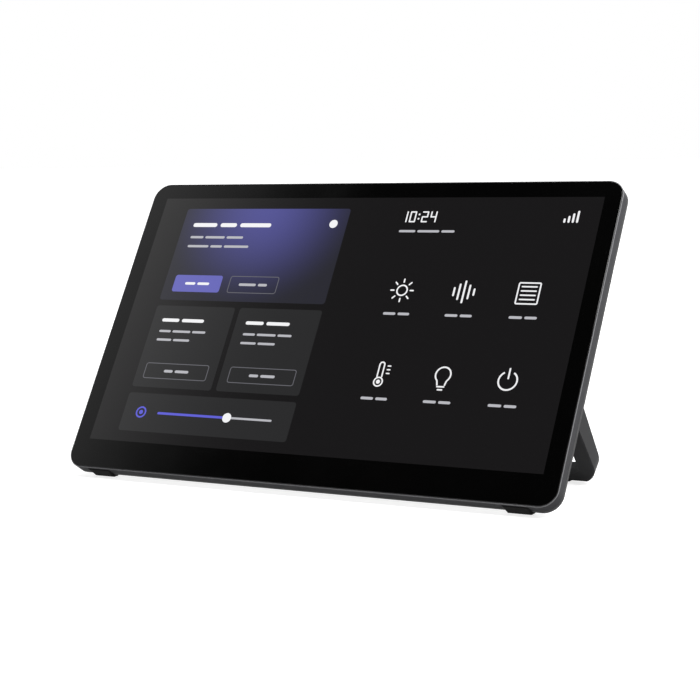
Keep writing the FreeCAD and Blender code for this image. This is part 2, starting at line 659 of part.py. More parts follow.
def rear_cover():
    """The moulded back: a straight side, a sloped edge, a flat back and a drafted pod for the electronics,
    hollow behind a thin wall, with screw bosses, hinge slots, cut-outs for the sockets and cooling slots."""
    piece = Piece("rear_cover")
    piece.add(inset_outline(piece.front(FRAME_DEPTH), 0, s.corner_radius), s.rear_wall_height, True)
    piece.soften("Chamfer", s.seam_chamfer, flat_at(-FRAME_DEPTH))
    piece.loft("AdditiveLoft", inset_outline(piece.front(SIDE_DEPTH), 0, s.corner_radius),
               inset_outline(piece.front(BACK_DEPTH), s.slope_width, s.back_corner))
    piece.loft("AdditiveLoft", pod_outline(piece.front(BACK_DEPTH), 0, s.pod_corner),
               pod_outline(piece.front(POD_DEPTH), s.pod_slope, s.pod_corner - s.pod_slope))
    piece.soften("Fillet", s.pod_edge, flat_at(-POD_DEPTH))
    # The hollow, which follows the outside at the wall's thickness
    inner_side = SIDE_DEPTH - s.slope_lead
    mouth = inset_outline(piece.front(FRAME_DEPTH), s.wall, s.corner_radius - s.wall)
    piece.cut(mouth, inner_side - FRAME_DEPTH)
    piece.loft("SubtractiveLoft", inset_outline(piece.front(inner_side), s.wall, s.corner_radius - s.wall),
               inset_outline(piece.front(FLOOR_DEPTH), s.slope_width + s.slope_step, s.back_corner))
    inner_top = s.pod_slope + s.pod_wall
    pod_mouth = pod_outline(piece.front(FLOOR_DEPTH), s.pod_wall, s.pod_corner - s.pod_wall)
    pod_end = pod_outline(piece.front(POD_DEPTH - s.wall), inner_top, s.pod_corner - inner_top)
    piece.loft("SubtractiveLoft", pod_mouth, pod_end)
    # Bosses from the floor down to the chassis, then their holes and sunk heads
    half_floor = s.wall / 2
    piece.add(circles(piece.front(CHASSIS_BACK), rear_screw_places(), s.boss_radius),
              FLOOR_DEPTH + half_floor - CHASSIS_BACK, True)
    piece.cut(circles(piece.front(CHASSIS_BACK), rear_screw_places(), s.screw_radius + s.screw_room),
              BACK_DEPTH - CHASSIS_BACK)
    head_depth = BACK_DEPTH - s.screw_head_height - s.screw_room
    piece.cut(circles(piece.front(head_depth), rear_screw_places(), s.screw_head_radius + s.screw_room),
              s.screw_head_height + s.screw_room)
    hinge_slots = piece.front(FLOOR_DEPTH)
    for name, side in SIDES:
        start, length = mirrored(side, KNUCKLE_INNER - s.knuckle_room, KNUCKLE_OUTER + s.knuckle_room)
        reach = s.barrel_radius + s.knuckle_room
        hinge_slots.rectangle(start, s.hinge_y - reach, start + length, s.hinge_y + reach)
    piece.cut(hinge_slots, s.wall)
    ports = piece.level(s.pod_low)
    for label, middle, width, height, length in socket_spans():
        half = width / 2 + s.port_room
        rear = BOARD_BACK + height + s.port_room
        ports.rectangle(middle - half, -rear, middle + half, s.port_room - BOARD_BACK)
    piece.cut(ports, PORT_PLANE + s.usb_length - s.pod_low)
    middle = POD_HIGH - s.pod_slope - s.vent_drop
    x = s.vent_pitch * (s.vent_count - 1) * -0.5
    half, reach = s.vent_width / 2, s.vent_length / 2
    vent = piece.front(POD_DEPTH - s.wall)
    piece.cut(vent.rectangle(x - half, middle - reach, x + half, middle + reach), s.wall)
    piece.repeat(s.vent_count, s.vent_pitch)


def hex_screws(label, places, head_depth, radius, head_radius, head_height, shank_end=FRAME_DEPTH):
    """Hexagon-headed screws driven from the back: heads behind head_depth, shanks forward to shank_end."""
    piece = Piece(label)
    piece.add(circles(piece.front(shank_end), places, radius), head_depth - shank_end, True)
    piece.add(hexagons(piece.front(head_depth), places, head_radius), head_height, True)


def inner_screws():
    """The screws inside the housing: chassis to frame, board to chassis and hinge brackets to chassis."""
    hex_screws("chassis_screws", rim_screw_places(), CHASSIS_BACK, s.rim_screw_radius, s.rim_screw_head,
               s.rim_head_height, FRAME_DEPTH - s.rim_screw_length)
    hex_screws("board_screws", board_screw_places(), BOARD_BACK, s.screw_radius, s.screw_head_radius,
               s.screw_head_height)
    places = [place for name, side in SIDES for place in bracket_screw_places(side)]
    hex_screws("hinge_screws", places, CHASSIS_BACK + s.bracket_thickness, s.screw_radius,
               s.screw_head_radius, s.screw_head_height)


def rear_screws():
    """Round-headed screws sunk into the flat back, each with a hexagon socket."""
    piece = Piece("rear_screws")
    places = rear_screw_places()
    head_depth = BACK_DEPTH - s.screw_head_height - s.screw_room
    piece.add(circles(piece.front(FRAME_DEPTH), places, s.screw_radius), head_depth - FRAME_DEPTH, True)
    piece.add(circles(piece.front(head_depth), places, s.screw_head_radius), s.screw_head_height, True)
    sockets = piece.front(head_depth + s.screw_head_height - s.socket_depth)
    piece.cut(hexagons(sockets, places, s.socket_radius), s.socket_depth)


def main_board():
    piece = Piece("main_board")
    outline = piece.front(BOARD_DEPTH)
    outline.rounded(-BOARD_HALF_WIDTH, BOARD_LOW, BOARD_HALF_WIDTH, BOARD_HIGH, s.board_corner)
    piece.add(outline, s.board_thickness, True)
    piece.cut(circles(piece.front(BOARD_DEPTH), board_screw_places(), s.screw_radius), s.board_thickness)


def board_block(label, spans, height, depth=BOARD_BACK):
    """Rectangular components on the board: each span is left, low, right, high."""
    piece = Piece(label)
    outline = piece.front(depth)
    for span in spans:
        outline.rectangle(*span)
    piece.add(outline, height, True)
    return piece


def around(x, y, half):
    """A square about a point: left, low, right, high."""
    return x - half, y - half, x + half, y + half


def board_parts():
    """The processor with its pad and heat spreader, the memory, the power stage's can and the connectors."""
    middle = (BOARD_LOW + BOARD_HIGH) / 2
    memory_x = s.memory_edge - BOARD_HALF_WIDTH
    memory = s.memory_side / 2
    chips = [around(memory_x, middle + up * s.memory_pitch / 2, memory) for up in (1, -1)]
    board_block("memory_chips", chips, s.chip_height)
    can_x = BOARD_HALF_WIDTH - s.can_edge
    can = s.can_side / 2
    shield = board_block("shield_can", [around(can_x, middle, can)], s.can_height)
    shield.cut(shield.front(BOARD_BACK).rectangle(*around(can_x, middle, can - s.can_wall)),
               s.can_height - s.can_wall)
    # The heat spreader fills the room between the memory and the shield, over the processor
    left, right = memory_x + memory + s.part_gap, can_x - can - s.part_gap
    low, high = middle - s.spreader_height / 2, middle + s.spreader_height / 2
    square = around((left + right) / 2, middle, s.processor_side / 2)
    board_block("processor", [square], s.chip_height)
    board_block("thermal_pad", [square], s.pad_thickness, BOARD_BACK + s.chip_height)
    plate_rise = s.chip_height + s.pad_thickness
    plate = [(left, low, right, high)]
    spreader = board_block("heat_spreader", plate, s.spreader_thickness, BOARD_BACK + plate_rise)
    inset = s.post_inset
    posts = [(x, y) for x in (left + inset, right - inset) for y in (low + inset, high - inset)]
    spreader.add(hexagons(spreader.front(BOARD_BACK), posts, s.post_radius), plate_rise, True)
    top = BOARD_HIGH - s.connector_length
    board_block("flex_connectors", [(left, top - s.connector_length, right, top)
                                    for label, left, right in flex_spans()], s.connector_height)


def sockets():
    """The video and data sockets: a metal shell open towards the bottom, with a contact tongue inside."""
    for label, middle, width, height, length in socket_spans():
        piece = Piece(label)
        wall = s.socket_wall
        half = width / 2
        back, rear = -BOARD_BACK, -(BOARD_BACK + height)
        mouth = piece.level(PORT_PLANE).rounded(middle - half, rear, middle + half, back, s.socket_corner)
        piece.add(mouth, length, True)
        hollow = piece.level(PORT_PLANE)
        inner = half - wall
        hollow.rounded(middle - inner, rear + wall, middle + inner, back - wall, s.socket_corner - wall)
        piece.cut(hollow, length - 2 * wall)
        centre = (back + rear) / 2
        tongue_half = half - s.tongue_gap
        tongue = piece.level(PORT_PLANE + 2 * wall)
        tongue.rectangle(middle - tongue_half, centre - wall, middle + tongue_half, centre + wall)
        piece.add(tongue, length - 2 * wall, True)


def flexible_cables():
    """Two flat cables that rise from the display through the chassis and turn down onto the main board."""
    landing = BOARD_HIGH - s.connector_length
    for label, left, right in flex_spans():
        piece = Piece(label)
        start, end = TRAY_DEPTH + s.tray_wall, BOARD_BACK
        y, thick = FLEX_RISE, s.flex_thickness
        profile = [(y, -start), (y + thick, -start), (y + thick, -(end + thick)), (landing, -(end + thick)),
                   (landing, -end), (y, -end)]
        piece.add(piece.side(left).polygon(profile), right - left)


def front_feet():
    """Rubber wedges glued to the sloped back edge, flat where they stand on the table."""
    grade = s.slope_rise / s.slope_width
    flat_start = SIDE_DEPTH + s.foot_front
    flat_end = flat_start + s.foot_flat
    seat_start = s.foot_front

    def on_table(depth):
        return (TABLE + depth * TILT_COS) / TILT_SIN, -depth

    profile = [
        (seat_start, -(SIDE_DEPTH + seat_start * grade)),
        on_table(flat_start),
        on_table(flat_end),
        (seat_start + s.foot_seat, -(SIDE_DEPTH + (seat_start + s.foot_seat) * grade)),
    ]
    foot_x = HALF_WIDTH - s.foot_side
    for name, side in SIDES:
        piece = Piece(f"front_foot_{name}")
        start, length = mirrored(side, foot_x - s.foot_length / 2, foot_x + s.foot_length / 2)
        piece.add(piece.side(start).polygon(profile), length)
        ends = (number(start), number(start + length))
        level = number(TABLE)

        def at_the_ends(edge):
            low = all(near(v.Y * number(TILT_SIN) + v.Z * number(TILT_COS), level) for v in edge.Vertexes)
            return low and any(all(near(v.X, end) for v in edge.Vertexes) for end in ends)

        piece.soften("Chamfer", s.foot_chamfer, at_the_ends)


def hinge_brackets():
    """Cast brackets: a base screwed to the chassis and a barrel that stands out through the rear cover."""
    for name, side in SIDES:
        piece = Piece(f"hinge_bracket_{name}")
        start, length = mirrored(side, KNUCKLE_INNER - s.bracket_reach, KNUCKLE_OUTER)
        low, high = s.hinge_y - s.bracket_half_height, s.hinge_y + s.bracket_half_height
        piece.add(piece.front(CHASSIS_BACK).rounded(start, low, start + length, high, s.bracket_thickness),
                  s.bracket_thickness, True)
        start, length = mirrored(side, KNUCKLE_INNER, KNUCKLE_OUTER)
        neck = piece.side(start).rectangle(s.hinge_y - s.barrel_radius, -HINGE_DEPTH,
                                           s.hinge_y + s.barrel_radius, -CHASSIS_BACK)
        piece.add(neck, length)
        piece.add(piece.side(start).circle(s.hinge_y, -HINGE_DEPTH, s.barrel_radius), length)
        bore = piece.side(start + length).circle(s.hinge_y, -HINGE_DEPTH, s.pin_radius + s.pin_play)
        piece.cut(bore, length)
        holes = circles(piece.front(CHASSIS_BACK), bracket_screw_places(side), s.screw_radius)
        piece.cut(holes, s.bracket_thickness)


def leg_profile(outline, end, facet, taper):
    """The leg seen from the right: chamfered end, front face, barrel about the axis and tapered rear face."""
    barrel = s.barrel_radius
    sketch = outline.sketch
    first = sketch.GeometryCount
    heel = (end, LEG_REAR)
    toe = (end, barrel - facet * LEAN_COS)
    shin = (end + facet * LEAN_SIN, barrel)
    crown = (0, barrel)
    heel_at, toe_at, shin_at, crown_at = (
        FreeCAD.Vector(number(x), number(y), 0) for x, y in (heel, toe, shin, crown)
    )
    circle = Part.Circle(FreeCAD.Vector(0, 0, 0), FreeCAD.Vector(0, 0, 1), number(barrel))
    arc = Part.ArcOfCircle(circle, -math.pi / 2 - taper, math.pi / 2)
    for curve in (
        Part.LineSegment(toe_at, shin_at),
        Part.LineSegment(shin_at, crown_at),
        arc,
        Part.LineSegment(arc.StartPoint, heel_at),
        Part.LineSegment(heel_at, toe_at),
    ):
        sketch.addGeometry(curve, False)
    lower, face, crest, rear, sole = range(first, first + 5)
    rules = outline.at(lower, 1, *toe) + outline.at(face, 1, *shin)
    rules += outline.at(face, 2, *crown) + outline.at(sole, 1, *heel)
    rules += [
        (("Coincident", lower, 2, face, 1), None),
        (("Coincident", face, 2, crest, 2), None),
        (("Coincident", crest, 3, -1, 1), None),
        (("Tangent", crest, 1, rear, 1), None),
        (("Coincident", rear, 2, sole, 1), None),
        (("Coincident", sole, 2, lower, 1), None),
    ]
    outline.hold(rules)


def stand_bail():
    """The stand: one U-shaped casting whose legs thicken from the cross bar up to their hinge barrels."""
    piece = Piece("stand_bail")
    half, barrel = STAND_HALF_WIDTH, s.barrel_radius
    metal_end = s.pad_proud - LEG_LENGTH
    outer = Outline(piece.body, "XY_Plane", -barrel)
    outer.rounded(-half, metal_end, half, barrel + s.stand_corner, s.stand_corner)
    piece.add(outer, 2 * barrel)
    gap = Outline(piece.body, "XY_Plane", barrel)
    top = barrel + 2 * s.stand_corner
    gap.rounded(-LEG_INNER, metal_end + s.bar_height - s.pad_proud, LEG_INNER, top, s.stand_inner_corner)
    piece.cut(gap, 2 * barrel)
    # What lies outside the leg's profile is cut away: front face, barrel, tapered rear face and chamfered end
    reach = 4 * barrel
    facet = s.pad_flat + s.pad_proud / 2
    taper = math.asin(barrel.value / -metal_end.value) - math.atan(LEG_REAR.value / metal_end.value)
    profile = piece.side(half)
    profile.rectangle(-LEG_LENGTH - reach, -reach, reach + s.stand_corner, reach)
    leg_profile(profile, metal_end, facet, taper)
    piece.cut(profile, 2 * half)
    for name, side in SIDES:
        start, length = mirrored(side, LEG_INNER, half - s.cap_depth)
        piece.cut(piece.side(start + length).circle(0, 0, s.pin_radius), length)
        start, length = mirrored(side, half - s.cap_depth, half)
        piece.cut(piece.side(start + length).circle(0, 0, s.cap_radius), length)
    # Seat of the rubber pad under the cross bar
    seat = piece.side(PAD_HALF_LENGTH)
    seat.rectangle(-LEG_LENGTH - reach, -reach, s.pad_height - LEG_LENGTH, reach)
    piece.cut(seat, 2 * PAD_HALF_LENGTH)

    def around_the_sides(edge):
        ends = edge.Vertexes
        on_a_side = all(near(abs(v.X), half.value) for v in ends) and near(edge.BoundBox.XLength, 0)
        return on_a_side and len(ends) == 2 and not near(ends[0].Y, ends[1].Y)

    piece.soften("Chamfer", s.stand_edge, around_the_sides)


def stand_pad():
    """The rubber strip under the cross bar, with a flat that lies on the table at rest."""
    piece = Piece("stand_pad")
    barrel, rear = s.barrel_radius, LEG_REAR
    top = s.pad_height - LEG_LENGTH
    heel = s.pad_proud
    profile = [
        (-LEG_LENGTH, barrel - s.pad_flat * LEAN_COS),
        (s.pad_flat * LEAN_SIN - LEG_LENGTH, barrel),
        (top, barrel),
        (top, rear),
        (heel - LEG_LENGTH, rear),
        (-LEG_LENGTH, rear + heel),
    ]
    piece.add(piece.side(-PAD_HALF_LENGTH).polygon(profile), 2 * PAD_HALF_LENGTH)


def hinge_hardware():
    """What turns with each leg: the pin, its nut, the friction washer and the cap that closes the bore."""
    cap_inner = STAND_HALF_WIDTH - s.cap_depth
    nut_outer = KNUCKLE_INNER - s.side_play
    nut_inner = nut_outer - s.nut_width
    for name, side in SIDES:
        pin = Piece(f"hinge_pin_{name}")
        start, length = mirrored(side, nut_inner, cap_inner)
        pin.add(pin.side(start).circle(0, 0, s.pin_radius), length)
        nut = Piece(f"hinge_nut_{name}")
        start, length = mirrored(side, nut_inner, nut_outer)
        nut.add(nut.side(start).hexagon(0, 0, s.nut_radius).circle(0, 0, s.pin_radius), length)
        washer = Piece(f"hinge_washer_{name}")
        start, length = mirrored(side, LEG_INNER - s.washer_thickness, LEG_INNER)
        washer.add(washer.side(start).circle(0, 0, s.washer_radius).circle(0, 0, s.pin_radius), length)
        cap = Piece(f"pivot_cap_{name}")
        start, length = mirrored(side, cap_inner, STAND_HALF_WIDTH)
        cap.add(cap.side(start).circle(0, 0, s.cap_radius), length)


def place(piece, back, up, turn):
    """Puts a piece into the shared frame: turned about X, then moved back and up, all tied to the sheet."""
    middle = (FRONT_REACH + REAR_REACH) / 2
    y = back - middle
    body = piece.body
    turned = FreeCAD.Rotation(FreeCAD.Vector(1, 0, 0), number(turn))
    body.Placement = FreeCAD.Placement(FreeCAD.Vector(0, number(y), number(up)), turned)
    body.setExpression("Placement.Base.y", y.text)
    body.setExpression("Placement.Base.z", up.text)
    body.setExpression("Placement.Rotation.Angle", turn.text)


PANEL = (
    cover_glass, glass_tape, display_stack, light_bar, backlight_tray, front_frame, display_chassis,
    rear_cover, inner_screws, rear_screws, main_board, board_parts, sockets, flexible_cables, front_feet,
    hinge_brackets,
)
STAND = (stand_bail, stand_pad, hinge_hardware)


def build():
    for make in PANEL:
        make()
    panel_pieces = list(Piece.made)
    for make in STAND:
        make()
    for piece in Piece.made:
        if piece in panel_pieces:
            place(piece, Size(0.0, "0.0"), -TABLE, s.tilt)
        else:
            place(piece, HINGE_BACK, HINGE_RISE, s.stand_lean + QUARTER_TURN)
    DOC.recompute()


def check():
    for item in DOC.Objects:
        if "Invalid" in item.State or "Error" in item.State:
            raise RuntimeError(f"{item.Label}: {item.State}")
    for piece in Piece.made:
        shape = piece.body.Shape
        if shape.isNull() or not shape.isValid() or not shape.Solids:
            raise RuntimeError(f"{piece.body.Label}: no sound solid")


def write():
    os.makedirs("parts", exist_ok=True)
    for piece in Piece.made:
        piece.body.Shape.exportStep(f"parts/{piece.body.Label}.step")


build()
check()
write()
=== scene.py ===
"""The tabletop touch console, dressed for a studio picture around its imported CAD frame.

The screen's marks are placed in the panel's own frame, in millimetres: x across and u up from the
middle of the picture, and n out of the glass towards the viewer. panel() turns such a place into
the shared frame, in metres.
"""
import json
import math

import bmesh
import bpy
from mathutils import Matrix, Vector


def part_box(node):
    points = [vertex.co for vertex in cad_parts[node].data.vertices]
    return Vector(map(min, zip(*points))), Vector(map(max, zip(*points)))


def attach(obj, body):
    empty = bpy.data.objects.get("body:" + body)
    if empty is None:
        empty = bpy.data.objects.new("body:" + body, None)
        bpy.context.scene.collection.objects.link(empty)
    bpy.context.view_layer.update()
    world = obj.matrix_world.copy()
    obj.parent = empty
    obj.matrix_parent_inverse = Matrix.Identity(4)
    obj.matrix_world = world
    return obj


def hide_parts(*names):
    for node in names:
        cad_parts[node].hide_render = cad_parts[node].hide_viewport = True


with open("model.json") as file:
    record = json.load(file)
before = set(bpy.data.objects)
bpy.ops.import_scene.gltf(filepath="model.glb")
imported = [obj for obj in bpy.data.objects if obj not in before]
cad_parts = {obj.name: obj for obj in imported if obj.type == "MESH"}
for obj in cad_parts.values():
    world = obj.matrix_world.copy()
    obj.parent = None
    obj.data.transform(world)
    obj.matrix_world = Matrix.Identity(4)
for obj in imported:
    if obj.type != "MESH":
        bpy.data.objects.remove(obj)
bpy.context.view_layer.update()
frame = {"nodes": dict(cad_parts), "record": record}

MM = 0.001
QUARTER_TURN = math.pi / 2

# The panel: its tilt, and the sizes of the housing and the picture that the marks need
TILT = math.radians(57.0)
HOUSING_HEIGHT = 169.1
GLASS_INSET = 0.5
GLASS_CHAMFER = 0.3
PICTURE_UP = 88.05
PICTURE_HALF_WIDTH = 128.05
PICTURE_HALF_HEIGHT = 72.0


def turned(x, u, n):
    """A direction in the panel's frame, as one in the shared frame."""
    return Vector((x, u * math.cos(TILT) - n * math.sin(TILT), u * math.sin(TILT) + n * math.cos(TILT)))


def panel_edge():
    """The middle of the housing's lower front edge, found from the box of the glass."""
    low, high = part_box("cover_glass")
    lowest = turned(0, GLASS_INSET + GLASS_CHAMFER, 0) * MM
    highest = turned(0, HOUSING_HEIGHT - GLASS_INSET, -GLASS_CHAMFER) * MM
    return Vector((0.0, low[1] - lowest.y, high[2] - highest.z))


PANEL_EDGE = panel_edge()


def panel(x, u, n):
    """A place on the panel, in the shared frame and in metres."""
    return PANEL_EDGE + turned(x, u + PICTURE_UP, n) * MM


def srgb(text):
    """A colour written as six hex digits, as linear values by the sRGB standard's formula."""
    values = [int(text[i:i + 2], 16) / 255 for i in (0, 2, 4)]
    return tuple(v / 12.92 if v <= 0.04045 else ((v + 0.055) / 1.055) ** 2.4 for v in values)


def linked(name, data):
    """A new object in the scene."""
    made = bpy.data.objects.new(name, data)
    bpy.context.scene.collection.objects.link(made)
    return made


def modelled(name, mesh, material):
    """A new object made from a bmesh, which it uses up."""
    data = bpy.data.meshes.new(name)
    mesh.to_mesh(data)
    mesh.free()
    data.materials.append(material)
    return linked(name, data)


# Materials

# Sockets of a mix node that hold colours
COLOUR_A, COLOUR_B, COLOUR_RESULT = 6, 7, 2
# The part of a noise texture's range that it mostly keeps to
NOISE_LOW, NOISE_HIGH = 0.3, 0.7
# Stretches of a texture: the same in all directions, drawn out along x, and into rings round x
EVEN = (1.0, 1.0, 1.0)
ALONG_X = (40.0, 1.0, 1.0)
ROUND_X = (1.0, 30.0, 30.0)


class NodeTree:
    """Short ways to add nodes to a material or to the world; a value is a number or a node's output."""

    def __init__(self, owner):
        owner.use_nodes = True
        self.nodes = owner.node_tree.nodes
        self.links = owner.node_tree.links

    def put(self, value, socket):
        if isinstance(value, bpy.types.NodeSocket):
            self.links.new(value, socket)
        else:
            socket.default_value = value

    def _operated(self, kind, operation, first, second):
        node = self.nodes.new(kind)
        node.operation = operation
        self.put(first, node.inputs[0])
        self.put(second, node.inputs[1])
        return node.outputs["Value"]

    def calc(self, operation, first, second):
        """A sum, product or the like of two numbers."""
        return self._operated("ShaderNodeMath", operation, first, second)

    def vector(self, operation, first, second):
        """A product or a distance of two vectors."""
        return self._operated("ShaderNodeVectorMath", operation, first, second)

    def ranged(self, value, low, high, start=NOISE_LOW, end=NOISE_HIGH, smooth=False):
        """A value that goes from low to high while another goes from start to end."""
        node = self.nodes.new("ShaderNodeMapRange")
        node.interpolation_type = "SMOOTHSTEP" if smooth else "LINEAR"
        node.inputs["From Min"].default_value = start
        node.inputs["From Max"].default_value = end
        node.inputs["To Min"].default_value = low
        node.inputs["To Max"].default_value = high
        self.links.new(value, node.inputs["Value"])
        return node.outputs["Result"]

    def seen_directly(self):
        """1 for rays that show a surface as it is, straight, in a reflection or through glass."""
        path = self.nodes.new("ShaderNodeLightPath")
        straight = self.calc("ADD", path.outputs["Is Camera Ray"], path.outputs["Is Glossy Ray"])
        return self.calc("MINIMUM", self.calc("ADD", straight, path.outputs["Is Transmission Ray"]), 1.0)


class Shader(NodeTree):
    """A material under construction: its principled shader and short ways to feed it."""

    def __init__(self, name, colour, roughness, metallic=0.0, specular=0.5):
        self.material = bpy.data.materials.new(name)
        super().__init__(self.material)
        self.bsdf = next(node for node in self.nodes if node.type == "BSDF_PRINCIPLED")
        self.colour = colour
        self.roughness = roughness
        self.set("Base Color", (*colour, 1.0))
        self.set("Roughness", roughness)
        self.set("Metallic", metallic)
        self.set("Specular IOR Level", specular)
        self.place = self.nodes.new("ShaderNodeTexCoord").outputs["Object"]

    def set(self, socket, value):
        self.bsdf.inputs[socket].default_value = value
        return self

    def feed(self, output, socket):
        self.links.new(output, self.bsdf.inputs[socket])
        return self

    def noise(self, size_mm, detail=3.0, stretch=EVEN):
        """Noise with features of about this size; stretch draws it out along an axis."""
        mapping = self.nodes.new("ShaderNodeMapping")
        mapping.inputs["Scale"].default_value = [1.0 / s for s in stretch]
        self.links.new(self.place, mapping.inputs["Vector"])
        noise = self.nodes.new("ShaderNodeTexNoise")
        noise.inputs["Scale"].default_value = 1.0 / (size_mm * MM)
        noise.inputs["Detail"].default_value = detail
        self.links.new(mapping.outputs["Vector"], noise.inputs["Vector"])
        return noise.outputs["Fac"]

    def mixed(self, value, first, second):
        """A colour between two."""
        node = self.nodes.new("ShaderNodeMix")
        node.data_type = "RGBA"
        self.links.new(value, node.inputs["Factor"])
        self.put((*first, 1.0), node.inputs[COLOUR_A])
        self.put((*second, 1.0), node.inputs[COLOUR_B])
        return node.outputs[COLOUR_RESULT]

    def tinted(self, value, swing):
        """Colour that swings darker and lighter with a value."""
        dark = tuple(c * (1 - swing) for c in self.colour)
        light = tuple(min(1.0, c * (1 + swing)) for c in self.colour)
        return self.feed(self.mixed(value, dark, light), "Base Color")

    def scuffed(self, value, swing):
        """Roughness that swings with a value."""
        return self.feed(self.ranged(value, self.roughness - swing, self.roughness + swing), "Roughness")

    def bumped(self, value, height_mm):
        """A surface that rises with a value."""
        bump = self.nodes.new("ShaderNodeBump")
        bump.inputs["Strength"].default_value = 1.0
        bump.inputs["Distance"].default_value = height_mm * MM
        self.links.new(value, bump.inputs["Height"])
        return self.feed(bump.outputs["Normal"], "Normal")


MATT_SPECULAR = 0.02
# The painted highlight on the front frame's edge, a lighter colour that stands in for light caught by the
# chamfer: how far it reaches behind the glass, and how soft its end is
HIGHLIGHT_DEPTH = 0.3
HIGHLIGHT_BLUR = 0.02


def moulded(name, colour, roughness, grain_mm=0.35, depth_mm=0.012, specular=MATT_SPECULAR):
    """Spark-eroded plastic or fine paint: an even grain with faint cloudiness."""
    shader = Shader(name, colour, roughness, specular=specular)
    grain = shader.noise(grain_mm, detail=2.0)
    cloud = shader.noise(size_mm=18.0)
    return shader.tinted(cloud, swing=0.10).scuffed(grain, swing=0.06).bumped(grain, depth_mm).material


def paint_with_painted_highlight(name, colour, highlight_colour, roughness):
    """Fine paint with a painted highlight along its front edge, a lighter colour where light would catch the
    chamfer, told by its depth behind the glass.
    """
    shader = Shader(name, colour, roughness, specular=MATT_SPECULAR)
    front = turned(0, 0, 1)
    edge = panel(0, 0, -HIGHLIGHT_DEPTH).dot(front)
    forwards = shader.vector("DOT_PRODUCT", shader.place, front)
    # Painted highlight: the lighter colour goes on the front edge in place of light caught there
    highlight_mask = shader.ranged(forwards, 0.0, 1.0, edge, edge + HIGHLIGHT_BLUR * MM)
    shader.feed(shader.mixed(highlight_mask, colour, highlight_colour), "Base Color")
    grain = shader.noise(size_mm=0.22, detail=2.0)
    return shader.scuffed(grain, swing=0.06).bumped(grain, height_mm=0.004).material


def rubbery(name, colour):
    """Rubber or foam: dull, with a coarse grain."""
    shader = Shader(name, colour, roughness=0.82, specular=0.1)
    grain = shader.noise(size_mm=0.6)
    cloud = shader.noise(size_mm=6.0)
    return shader.tinted(cloud, swing=0.25).scuffed(grain, swing=0.08).bumped(grain, height_mm=0.03).material


def brushed(name, colour, roughness, along=ALONG_X):
    """Metal with fine lines, or with an even grain."""
    shader = Shader(name, colour, roughness, metallic=1.0)
    lines = shader.noise(size_mm=0.25, detail=4.0, stretch=along)
    return shader.tinted(lines, swing=0.12).scuffed(lines, swing=0.1).bumped(lines, height_mm=0.004).material


def film(name, colour, roughness):
    """Plastic film or packages: smooth, slightly uneven."""
    shader = Shader(name, colour, roughness, specular=0.4)
    cloud = shader.noise(size_mm=4.0)
    return shader.tinted(cloud, swing=0.08).scuffed(cloud, swing=0.05).bumped(cloud, height_mm=0.01).material


# The size of the pattern of tracks
TRACK_GRID = 9.0


def circuit(name):
    """Green solder mask over a maze of tracks."""
    shader = Shader(name, colour=(0.012, 0.10, 0.05), roughness=0.35)
    tracks = shader.nodes.new("ShaderNodeTexBrick")
    tracks.inputs["Scale"].default_value = 1.0 / (TRACK_GRID * MM)
    tracks.inputs["Mortar Size"].default_value = 0.05
    tracks.inputs["Color1"].default_value = (0.010, 0.09, 0.045, 1.0)
    tracks.inputs["Color2"].default_value = (0.014, 0.12, 0.06, 1.0)
    tracks.inputs["Mortar"].default_value = (0.05, 0.22, 0.10, 1.0)
    shader.links.new(shader.place, tracks.inputs["Vector"])
    return shader.feed(tracks.outputs["Color"], "Base Color").material


# The cover glass, and how strongly it mirrors over its black border and over the display
GLASS_BLACK = (0.0006, 0.0006, 0.0006)
GLASS_ROUGHNESS = 0.10
GLASS_SPECULAR = 0.40
PICTURE_SPECULAR = 0.62


def glass(name):
    """Black-backed cover glass with an anti-reflection coat and the faint smears of a touched screen."""
    shader = Shader(name, GLASS_BLACK, GLASS_ROUGHNESS, specular=GLASS_SPECULAR)
    smear = shader.noise(size_mm=35.0, detail=4.0)
    return shader.scuffed(smear, swing=0.035).material


def glowing(name):
    """The start of a part of the picture: dark glossy glass whose glow has no colour yet."""
    shader = Shader(name, GLASS_BLACK, GLASS_ROUGHNESS, specular=PICTURE_SPECULAR)
    return shader.set("Emission Strength", 1.0)


def lit(name, colour):
    """A part of the picture that glows in one colour."""
    return glowing(name).set("Emission Color", (*colour, 1.0)).material


def lit_round(name, middle, colour, far_colour, reach):
    """A part of the picture that fades from one colour to another round a middle."""
    shader = glowing(name)
    distance = shader.vector("DISTANCE", shader.place, panel(*middle, 0))
    fade = shader.ranged(distance, 0.0, 1.0, 0.0, reach * MM, smooth=True)
    return shader.feed(shader.mixed(fade, colour, far_colour), "Emission Color").material


